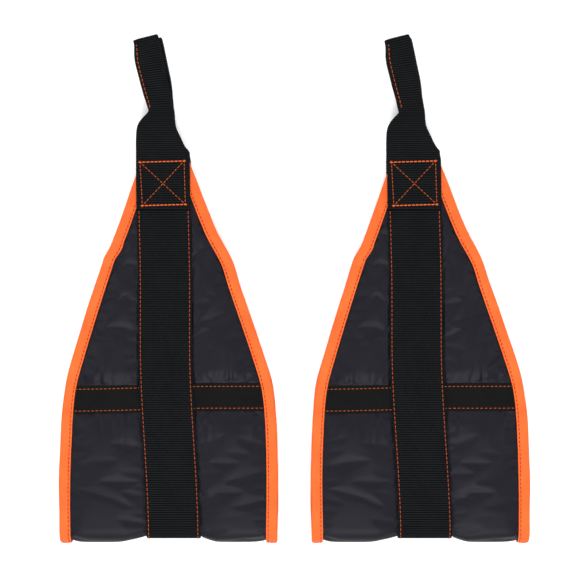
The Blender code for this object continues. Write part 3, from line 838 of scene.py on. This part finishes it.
back_rows, fold_rows, front_rows = (strip_rows(part, CLOTH_PITCH) for part in ("back", "fold", "front"))
cloth_v = np.concatenate([back_rows[:0:-1], fold_rows, front_rows[1:]])
cloth_y = height_along(cloth_v)
webbing_middle = webbing_centre(cloth_y)
seam_half = WEBBING_WIDTH / 2 - HELD_SHORT
sides = {}
for edge, inwards in (("left", 1), ("right", -1)):
    slot = [edge_inwards(edge, d, cloth_y) for d in SLOT_COLUMNS]
    seam = webbing_middle - inwards * seam_half
    least = slot[-1] + inwards * SEAM_MARGIN
    seam = np.maximum(seam, least) if edge == "left" else np.minimum(seam, least)
    panel = [slot[-1] + (seam - slot[-1]) * share for share in np.linspace(0, 1, PANEL_COLUMNS + 1)[1:]]
    sides[edge] = slot + panel
seam_to_seam = sides["right"][-1] - sides["left"][-1]
under_webbing = [sides["left"][-1] + seam_to_seam * share for share in (0.25, 0.5, 0.75)]
cloth_x = np.stack(sides["left"] + under_webbing + sides["right"][::-1], 1)
v, y = cloth_v[:, None] + 0 * cloth_x, cloth_y[:, None] + 0 * cloth_x

slots = len(SLOT_COLUMNS)
lip = [np.abs(cloth_x - sides[edge][slots - 1][:, None]) for edge in ("left", "right")]
seam = [np.abs(cloth_x - sides[edge][-1][:, None]) for edge in ("left", "right")]
from_side = np.minimum(np.arange(cloth_x.shape[1]), np.arange(cloth_x.shape[1])[::-1])
in_slot = from_side < slots
under = from_side >= slots + PANEL_COLUMNS - 1
to_lip = np.where(in_slot[None], 0, np.minimum(*lip))
to_seam = np.where(under[None], 0, np.minimum(*seam))
from_band = np.abs(y - band_centre(cloth_x)) - (BAND_WIDTH / 2 - HELD_SHORT)
held_by_band = from_band <= 0
panel_width = np.abs(np.where(cloth_x < webbing_middle[:, None],
                              sides["left"][-1][:, None] - sides["left"][slots - 1][:, None],
                              sides["right"][slots - 1][:, None] - sides["right"][-1][:, None]))
fullness = np.clip((panel_width - 6) / 24, 0, 1)
rise = ease(np.minimum(to_lip, to_seam) / CROWN_REACH) ** CROWN_SHOULDER
slot_level = edge_spread(y) + COVER_LOW
low = slot_level + (COVER_SEAM - slot_level) * (to_lip / np.maximum(to_lip + to_seam, 0.01))
crown = low + (COVER_CROWN - low) * rise * fullness
band_up = under_band(cloth_x, y)
near_band = 1 - ease(from_band / BAND_REACH)
cloth_up = np.where(held_by_band, band_up, crown + (band_up - crown) * near_band)
pinned = held_by_band | in_slot[None] | under[None] | (panel_width < NARROWEST)

rng = np.random.default_rng(RIPPLE_SEED)
rows, columns = cloth_x.shape
ripple = np.zeros(cloth_x.shape)
for _ in range(RIPPLES):
    turn = rng.uniform(0, math.pi)
    length = rng.uniform(*RIPPLE_LENGTHS)
    phase = rng.uniform(0, 2 * math.pi)
    across = cloth_x * math.cos(turn) + v * math.sin(turn)
    ripple += np.sin(2 * math.pi * across / length + phase) * length
ripple *= RIPPLE_HEIGHT / ripple.std() * (0.55 + 0.45 * ease((np.abs(y) - 110) / 60))
start = np.stack([cloth_x, v, cloth_up + np.where(pinned, 0, ripple)], -1)
cloth = grid_piece("cover_cloth", start * CLOTH_SCALE, start[..., :2])
cloth.modifiers.new("cover", "CLOTH")
settings = cloth.modifiers["cover"].settings
pins = cloth.vertex_groups.new(name="sewn")
pins.add([int(i) for i in np.flatnonzero(pinned)], 1.0, "REPLACE")
gathers = cloth.vertex_groups.new(name="gathers")
gather = np.exp(-((np.maximum(from_band, 0) / BAND_GATHER_REACH) ** 2))
gather = np.maximum(gather, SEAM_GATHER * np.exp(-((to_seam / SEAM_GATHER_REACH) ** 2)))
for pinch_x, pinch_y in PINCHES:
    near = np.hypot(cloth_x - webbing_middle[:, None] - pinch_x, y - pinch_y)
    gather = np.maximum(gather, np.exp(-((near / PINCH_REACH) ** 2)))
gather *= np.clip(panel_width / 45, 0, 1)
for step in range(1, GATHER_STEPS + 1):
    at_step = np.flatnonzero(np.round(gather * GATHER_STEPS) == step)
    gathers.add([int(i) for i in at_step], step / GATHER_STEPS, "REPLACE")
settings.vertex_group_mass = "sewn"
settings.vertex_group_shrink = "gathers"
settings.shrink_min = -0.012
settings.shrink_max = -0.05
settings.quality = 8
settings.mass = 0.15
settings.tension_stiffness = 25
settings.compression_stiffness = 25
settings.shear_stiffness = 8
settings.bending_stiffness = 0.9
settings.air_damping = 4
settings.use_pressure = True
settings.uniform_pressure_force = 0.35
settings.effector_weights.gravity = 0
cloth.modifiers["cover"].collision_settings.use_collision = False
for number in range(1, CLOTH_FRAMES + 1):
    scene.frame_set(number)
puffed = cloth.evaluated_get(bpy.context.evaluated_depsgraph_get())
found = np.zeros(rows * columns * 3)
puffed.data.vertices.foreach_get("co", found)
found = found.reshape(rows, columns, 3) / CLOTH_SCALE
scene.frame_set(1)
cloth_x, v, cloth_up = found[..., 0], found[..., 1], found[..., 2]
bpy.data.objects.remove(cloth)


def as_plain_mesh(piece):
    """Turns a piece's modifiers into its mesh."""
    graph = bpy.context.evaluated_depsgraph_get()
    mesh = bpy.data.meshes.new_from_object(piece.evaluated_get(graph))
    piece.modifiers.clear()
    piece.data = mesh
    return piece


def finer(values):
    """Twice as many rows and columns, on smooth curves through the given ones."""
    for _ in range(2):
        ends = np.concatenate([2 * values[:1] - values[1:2], values, 2 * values[-1:] - values[-2:-1]])
        between = (9 * (ends[1:-2] + ends[2:-1]) - ends[:-3] - ends[3:]) / 16
        woven = np.empty((2 * len(values) - 1, values.shape[1]))
        woven[0::2], woven[1::2] = values, between
        values = woven.T
    return values


cover_x, cover_v, cover_up, cloth_rows = (
    finer(values) for values in (cloth_x, v, cloth_up, cloth_v[:, None] + 0 * cloth_x))
cover_v = cloth_rows + (cover_v - cloth_rows) * ease(np.abs(np.abs(cloth_rows) - SPLIT) / SPLIT_REACH)
cover_y = height_along(cover_v)
past_band = np.maximum(np.abs(cover_y - band_centre(cover_x)) - BAND_WIDTH / 2, 0) / PLEAT_REACH
turn = 2 * math.pi * cover_x / PLEAT_PITCH + 1.5 * np.sin(cover_x * 0.13) + 0.8 * np.sin(cover_x * 0.31 + 1)
pleats = PLEAT_HEIGHT * np.sin(turn) * (0.6 + 0.4 * np.sin(cover_x * 0.09 + cover_v * 0.05))
to_binding = np.minimum(cover_x - edge_inwards("left", SLOT_COLUMNS[-1], cover_y),
                        edge_inwards("right", SLOT_COLUMNS[-1], cover_y) - cover_x)
cover_up += pleats * past_band * np.exp(1 - past_band) * ease(to_binding / 4)
front_share = ease((cover_v / QUARTER + 1) / 2)
ceiling = COVER_TOP["back"] + (COVER_TOP["front"] - COVER_TOP["back"]) * front_share
ceiling = COVER_TOP["fold"] + (ceiling - COVER_TOP["fold"]) * ease((np.abs(cover_v) - QUARTER / 2) / 30)
over = np.maximum(cover_up - (ceiling - CEILING_SOFTNESS), 0)
cover_up = np.minimum(cover_up, ceiling - CEILING_SOFTNESS)
cover_up += CEILING_SOFTNESS * (1 - np.exp(-over / CEILING_SOFTNESS))
cover_up = np.maximum(cover_up, COVER_LOW)

cover_finish = woven_material(
    "black_nylon", (0.0022, 0.002, 0.005), (0.0042, 0.0038, 0.0092), 0.52, 0.155, 0.22, 0.22, 0.012)
parts = {"back": cloth_rows[:, 0] <= -SPLIT + 0.01, "fold": np.abs(cloth_rows[:, 0]) <= SPLIT + 0.01,
         "front": cloth_rows[:, 0] >= SPLIT - 0.01}
for sling in SLINGS:
    for part, rows in parts.items():
        x, v, up = cover_x[rows], cover_v[rows], cover_up[rows]
        outer = strip_place(sling, x, v, up)
        cover = grid_piece(f"{sling}_{part}_nylon_cover", outer, np.stack([x, v], -1))
        cover.data.materials.append(cover_finish)
        shell = cover.modifiers.new("cloth", "SOLIDIFY")
        shell.thickness = COVER_THICKNESS * MM
        cover = as_plain_mesh(cover)
        cover.data.set_sharp_from_angle(angle=SHARP_ANGLE)
        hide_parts(f"{sling}_{part}_cover")
        join_part(cover, sling, part)

# ---------------------------------------------------------------- Foam cores
# A sheet of pale open-cell foam, about 6 mm thick, that fills the space between lining and cover. It is
# loose inside, and held only by the seams round it.

FOAM_UNDER_COVER = 0.9
FOAM_LEVEL = 1.0
FOAM_LEAST = 0.3
FOLD_FOAM_MARGIN = 6
foam_finish = plain_material("foam", (0.42, 0.42, 0.40), 0.95)
nodes, links = foam_finish.node_tree.nodes, foam_finish.node_tree.links
place = nodes.new("ShaderNodeTexCoord")
cells = nodes.new("ShaderNodeTexVoronoi")
cells.inputs["Scale"].default_value = 900
links.new(place.outputs["Object"], cells.inputs["Vector"])
relief(foam_finish, cells.outputs["Distance"], 0.6).inputs["Strength"].default_value = 0.5

cover_low = cover_up.copy()
for _ in range(2):
    cover_low[1:] = np.minimum(cover_low[1:], cover_low[:-1])
    cover_low[:-1] = np.minimum(cover_low[:-1], cover_low[1:])
    cover_low[:, 1:] = np.minimum(cover_low[:, 1:], cover_low[:, :-1])
    cover_low[:, :-1] = np.minimum(cover_low[:, :-1], cover_low[:, 1:])
inside = slice(2 * slots, -2 * slots, 2)
inside_fold = slice(inside.start + FOLD_FOAM_MARGIN, inside.stop - FOLD_FOAM_MARGIN, 2)
for sling in SLINGS:
    for part, rows in parts.items():
        columns = inside_fold if part == "fold" else inside
        x, v, low = cover_x[rows, columns][::2], cloth_rows[rows, columns][::2], cover_low[rows, columns][::2]
        base = lining_rise(x, height_along(v)) + FOAM_LEVEL
        top = strip_place(sling, x, v, np.maximum(low - FOAM_UNDER_COVER, base + FOAM_LEAST))
        under = strip_place(sling, x, v, base)
        foam = closed_strip(f"{sling}_{part}_foam_core", top, under, np.stack([x, v], -1))
        foam.data.materials.append(foam_finish)
        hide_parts(f"{sling}_{part}_foam")
        join_part(foam, sling, part)

# ---------------------------------------------------------------- Stitches
# Heavy bonded orange thread, lockstitched. Each stitch stands up from the cloth as a small arch between
# two needle holes. The bindings are held by tighter stitches in a darker copy of the thread, which is
# painted shade where they sink into the tape.

THREAD_RADIUS = 0.32
STITCH_ARCH = 0.4
STITCH_SHARE = 0.66
THREAD_END_DIVE, THREAD_CREST = -1.2, 2.2


def stitch_tree():
    """Arched stitches at an even pitch along a piece's edges, square to its "outward" attribute."""
    group = bpy.data.node_groups.new("stitches", "GeometryNodeTree")
    group.is_modifier = True
    face = group.interface
    face.new_socket("Seam", in_out="INPUT", socket_type="NodeSocketGeometry")
    for name, value in (("Pitch", 0.004), ("Stitch Length", 0.003), ("Thread Radius", 0.0004),
                        ("Arch", 0.0004), ("Unevenness", 0.06)):
        face.new_socket(name, in_out="INPUT", socket_type="NodeSocketFloat").default_value = value
    face.new_socket("Thread", in_out="INPUT", socket_type="NodeSocketMaterial")
    face.new_socket("Stitches", in_out="OUTPUT", socket_type="NodeSocketGeometry")
    nodes, links = group.nodes, group.links

    def node(kind, **settings):
        made = nodes.new(kind)
        for key, value in settings.items():
            setattr(made, key, value)
        return made

    given, out = node("NodeGroupInput"), node("NodeGroupOutput")
    seam = node("GeometryNodeMeshToCurve")
    links.new(given.outputs["Seam"], seam.inputs["Mesh"])
    spaced = node("GeometryNodeResampleCurve", mode="LENGTH")
    links.new(seam.outputs["Curve"], spaced.inputs["Curve"])
    links.new(given.outputs["Pitch"], spaced.inputs["Length"])

    outward = node("GeometryNodeInputNamedAttribute", data_type="FLOAT_VECTOR")
    outward.inputs["Name"].default_value = "outward"
    facing = node("FunctionNodeAxesToRotation", primary_axis="Z", secondary_axis="X")
    links.new(outward.outputs["Attribute"], facing.inputs["Primary Axis"])
    links.new(node("GeometryNodeInputTangent").outputs["Tangent"], facing.inputs["Secondary Axis"])
    tilt = node("FunctionNodeRandomValue", data_type="FLOAT_VECTOR")
    tilt.inputs["Seed"].default_value = 5
    lowest = node("ShaderNodeVectorMath", operation="MULTIPLY")
    highest = node("ShaderNodeVectorMath", operation="MULTIPLY")
    for product, sign in ((lowest, -1), (highest, 1)):
        links.new(given.outputs["Unevenness"], product.inputs[0])
        product.inputs[1].default_value = (0, 0.3 * sign, sign)
    links.new(lowest.outputs["Vector"], tilt.inputs["Min"])
    links.new(highest.outputs["Vector"], tilt.inputs["Max"])
    turned = node("FunctionNodeRotateRotation", rotation_space="LOCAL")
    links.new(facing.outputs["Rotation"], turned.inputs["Rotation"])
    links.new(tilt.outputs["Value"], turned.inputs["Rotate By"])

    bow = node("GeometryNodeCurveQuadraticBezier")
    bow.inputs["Resolution"].default_value = 6
    for end, sign in (("Start", -0.5), ("End", 0.5)):
        reach = node("ShaderNodeMath", operation="MULTIPLY")
        reach.inputs[1].default_value = sign
        links.new(given.outputs["Stitch Length"], reach.inputs[0])
        place = node("ShaderNodeCombineXYZ")
        links.new(reach.outputs[0], place.inputs["X"])
        dive = node("ShaderNodeMath", operation="MULTIPLY")
        dive.inputs[1].default_value = THREAD_END_DIVE
        links.new(given.outputs["Arch"], dive.inputs[0])
        links.new(dive.outputs[0], place.inputs["Z"])
        links.new(place.outputs["Vector"], bow.inputs[end])
    crest = node("ShaderNodeMath", operation="MULTIPLY")
    crest.inputs[1].default_value = THREAD_CREST
    links.new(given.outputs["Arch"], crest.inputs[0])
    top = node("ShaderNodeCombineXYZ")
    links.new(crest.outputs[0], top.inputs["Z"])
    links.new(top.outputs["Vector"], bow.inputs["Middle"])
    section = node("GeometryNodeCurvePrimitiveCircle")
    section.inputs["Resolution"].default_value = 6
    links.new(given.outputs["Thread Radius"], section.inputs["Radius"])
    thread = node("GeometryNodeCurveToMesh")
    thread.inputs["Fill Caps"].default_value = True
    links.new(bow.outputs["Curve"], thread.inputs["Curve"])
    links.new(section.outputs["Curve"], thread.inputs["Profile Curve"])

    sewn = node("GeometryNodeInstanceOnPoints")
    links.new(spaced.outputs["Curve"], sewn.inputs["Points"])
    links.new(thread.outputs["Mesh"], sewn.inputs["Instance"])
    links.new(turned.outputs["Rotation"], sewn.inputs["Rotation"])
    real = node("GeometryNodeRealizeInstances")
    links.new(sewn.outputs["Instances"], real.inputs["Geometry"])
    smooth = node("GeometryNodeSetShadeSmooth")
    links.new(real.outputs["Geometry"], smooth.inputs["Geometry"])
    coloured = node("GeometryNodeSetMaterial")
    links.new(smooth.outputs["Geometry"], coloured.inputs["Geometry"])
    links.new(given.outputs["Thread"], coloured.inputs["Material"])
    links.new(coloured.outputs["Geometry"], out.inputs["Stitches"])
    return group


def seam_row(sling, x, v, up):
    """Points of one row of stitches on the strip, and the directions straight out of it."""
    x, v, up = np.broadcast_arrays(x, np.asarray(v, float), up)
    points = strip_place(sling, x, v, up)
    outward = strip_place(sling, x, v, up + 1) - points
    return points, outward / np.linalg.norm(outward, axis=1, keepdims=True)


def stitched(name, rows, pitch, thread, radius=THREAD_RADIUS, arch=STITCH_ARCH):
    """Sews stitches along rows of points and turns them into one plain mesh."""
    points = np.concatenate([row[0] for row in rows])
    outward = np.concatenate([row[1] for row in rows])
    ends = np.cumsum([len(row[0]) for row in rows])
    edges = [(i, i + 1) for i in range(len(points) - 1) if i + 1 not in ends]
    mesh = bpy.data.meshes.new(name)
    mesh.from_pydata(points.tolist(), edges, [])
    mesh.attributes.new("outward", "FLOAT_VECTOR", "POINT").data.foreach_set(
        "vector", outward.astype(np.float32).ravel())
    made = bpy.data.objects.new(name, mesh)
    scene.collection.objects.link(made)
    sewing = made.modifiers.new("stitches", "NODES")
    sewing.node_group = stitch_group
    values = {"Pitch": pitch * MM, "Stitch Length": pitch * STITCH_SHARE * MM,
              "Thread Radius": radius * MM, "Arch": arch * MM, "Thread": thread}
    for socket in stitch_group.interface.items_tree:
        if socket.in_out == "INPUT" and socket.name in values:
            sewing[socket.identifier] = values[socket.name]
    made = as_plain_mesh(made)
    return made


def thread_material(name, dark, light):
    """Twisted polyester thread, uneven in colour and a little rough where its plies show."""
    made = plain_material(name, light, 0.55)
    nodes, links = made.node_tree.nodes, made.node_tree.links
    nodes["Principled BSDF"].inputs["Specular IOR Level"].default_value = 0.2
    place = nodes.new("ShaderNodeTexCoord")
    plies = nodes.new("ShaderNodeTexNoise")
    plies.inputs["Scale"].default_value = 900
    plies.inputs["Detail"].default_value = 2
    links.new(place.outputs["Object"], plies.inputs["Vector"])
    two_tone(made, plies.outputs["Fac"], dark, light)
    relief(made, plies.outputs["Fac"], 0.1)
    return made


stitch_group = stitch_tree()
orange_thread = thread_material("orange_thread", (0.22, 0.032, 0.005), (0.48, 0.088, 0.014))
# A lighter copy of the orange thread, as painted light on the box's bar rows.
painted_light_thread = thread_material("painted_light_thread", (0.5, 0.065, 0.012), (0.8, 0.14, 0.03))
# A darker copy of the orange thread, as painted shade on the binding stitches sunk in their groove.
painted_shade_thread = thread_material("painted_shade_thread", (0.2, 0.021, 0.003), (0.4, 0.044, 0.006))

STITCH_START, FOLD_STITCH_START = 2.2, 2
SEAM_POINTS, FOLD_SEAM_POINTS = 150, 60
WEBBING_STITCH = 2.2
WEBBING_STITCH_PITCH = 4.1
WEBBING_STITCH_TOP = 306.0
BOX_Y = 333.0
BOX_SIZE = 40.5
BOX_SKEW = ((1.2, -0.4), (0.6, 0.8), (-0.6, 0.6), (-1.0, -0.6))
BOX_BARS = ((0, 1), (2, 3))
BOX_RUNS = ((1, 2), (3, 0), (0, 2), (3, 1))
BOX_POINTS = 24
BOX_PITCH = 3.6
BOX_THREAD_RADIUS, BAR_THREAD_RADIUS = 0.36, 0.55
BAND_STITCH_PITCH = 3.9
BAND_STITCH_MARGINS = (1.5, 0.5)
BAND_POINTS = 40
BINDING_STITCH_END = 4
BINDING_THREAD_RADIUS = 0.45
BINDING_ARCH = 0.3
LOOP_STITCH = 2.7
LOOP_STITCH_START = 4
LOOP_STITCH_PITCH = 4.0
LOOP_STEP = 2.0
# Heights of the rows of thread, on what they are sewn on.
webbing_face = WEBBING_LEVEL + WEBBING_THICKNESS / 2 + 0.12
tail_face = TAIL_LEVEL + WEBBING_THICKNESS / 2 + 0.15
band_face = BAND_CLEARANCE + BAND_THICKNESS - 0.1
binding_face = BINDING_HEIGHT - 0.12


def webbing_rows(sling, v):
    """Rows near both edges of the load webbing."""
    offset = WEBBING_WIDTH / 2 - WEBBING_STITCH
    centre = webbing_centre(height_along(v))
    return [seam_row(sling, centre + offset * way, v, webbing_face) for way in (-1, 1)]


def binding_rows(sling, v):
    """Rows through both bindings, near their inner edges."""
    y = height_along(v)
    up = edge_spread(y) + binding_face + fold_stand(v)
    return [seam_row(sling, edge_inwards(edge, BINDING_STITCH, y), v, up) for edge in EDGES]


def box_rows(sling, side, runs):
    """Lines between corners of a square that is a little askew, as sewn by hand."""
    reach = BOX_SIZE / 2
    corners = np.array([(-1, -1), (1, -1), (1, 1), (-1, 1)]) * reach + np.array(BOX_SKEW)
    rows = []
    for first, second in runs:
        line = np.linspace(corners[first], corners[second], BOX_POINTS)
        v = side * along_strip(BOX_Y + line[:, 1])
        rows.append(seam_row(sling, webbing_centre(BOX_Y) + line[:, 0], v, tail_face))
    return rows


def band_rows(sling, side):
    """Rows near both edges of a cross band, from each binding to the load webbing."""
    outer_margin, inner_margin = BAND_STITCH_MARGINS
    rows = []
    for way in (-1, 1):
        for edge, (_, inwards) in EDGES.items():
            outer = edge_inwards(edge, BINDING_WIDTH + outer_margin, BAND_Y)
            inner = webbing_centre(BAND_Y) - inwards * (WEBBING_WIDTH / 2 + inner_margin)
            x = np.linspace(outer, inner, BAND_POINTS)
            y = band_centre(x) + way * (BAND_WIDTH / 2 - BAND_STITCH)
            v = side * along_strip(y)
            rows.append(seam_row(sling, x, v, under_band(x, y) + band_face))
    return rows


def loop_row(sling, half):
    """A row along the left edge of the doubled loop, sewn through both layers of its fold."""
    route, _ = even_steps(webbing_route(half), LOOP_STEP)
    crown = int(np.argmax(route[:, 1] + route[:, 4]))
    first = int(np.argmax(route[:crown, 1] > NECK_Y + LOOP_STITCH_START))
    route = route[first:crown - 1]
    widthways, outwards = route_directions(route)
    sewn = route[:, 0:3] + widthways * LOOP_STITCH + outwards * (WEBBING_THICKNESS / 2 + 0.1)
    points = route_place(sling, HALVES[half], sewn)
    outward = route_place(sling, HALVES[half], sewn + outwards) - points
    return points, outward / np.linalg.norm(outward, axis=1, keepdims=True)


for sling in SLINGS:
    for half, side in HALVES.items():
        of_half = f"{sling}_{half}"
        v = side * np.linspace(SPLIT + STITCH_START, along_strip(WEBBING_STITCH_TOP), SEAM_POINTS)
        sewing = stitched(f"{of_half}_webbing_stitches", webbing_rows(sling, v), WEBBING_STITCH_PITCH,
                          orange_thread)
        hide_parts(f"{of_half}_webbing_stitch_left", f"{of_half}_webbing_stitch_right")
        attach(sewing, f"{of_half}_half")

        sewing = stitched(f"{of_half}_box_stitches", box_rows(sling, side, BOX_RUNS), BOX_PITCH,
                          orange_thread, BOX_THREAD_RADIUS)
        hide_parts(f"{of_half}_box_stitch")
        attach(sewing, f"{of_half}_half")
        # The bars are sewn with thicker thread and are painted lighter, using the lighter copy of the thread.
        sewing = stitched(f"{of_half}_box_bar_stitches", box_rows(sling, side, BOX_BARS), BOX_PITCH,
                          painted_light_thread, BAR_THREAD_RADIUS)
        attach(sewing, f"{of_half}_half")

        sewing = stitched(f"{of_half}_band_stitches", band_rows(sling, side), BAND_STITCH_PITCH,
                          orange_thread)
        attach(sewing, f"{of_half}_half")

        v = side * np.linspace(SPLIT + STITCH_START, along_strip(PANEL_TOP) - BINDING_STITCH_END, SEAM_POINTS)
        sewing = stitched(f"{of_half}_binding_stitches", binding_rows(sling, v), BINDING_PITCH,
                          painted_shade_thread, BINDING_THREAD_RADIUS, BINDING_ARCH)
        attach(sewing, f"{of_half}_half")

        sewing = stitched(f"{of_half}_loop_stitches", [loop_row(sling, half)], LOOP_STITCH_PITCH,
                          orange_thread)
        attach(sewing, f"{of_half}_loop")

    v = np.linspace(FOLD_STITCH_START - SPLIT, SPLIT - FOLD_STITCH_START, FOLD_SEAM_POINTS)
    sewing = stitched(f"{sling}_fold_webbing_stitches", webbing_rows(sling, v), WEBBING_STITCH_PITCH,
                      orange_thread)
    bend_at_fold(sewing)
    sewing = stitched(f"{sling}_fold_binding_stitches", binding_rows(sling, v), BINDING_PITCH,
                      painted_shade_thread, BINDING_THREAD_RADIUS, BINDING_ARCH)
    bend_at_fold(sewing)
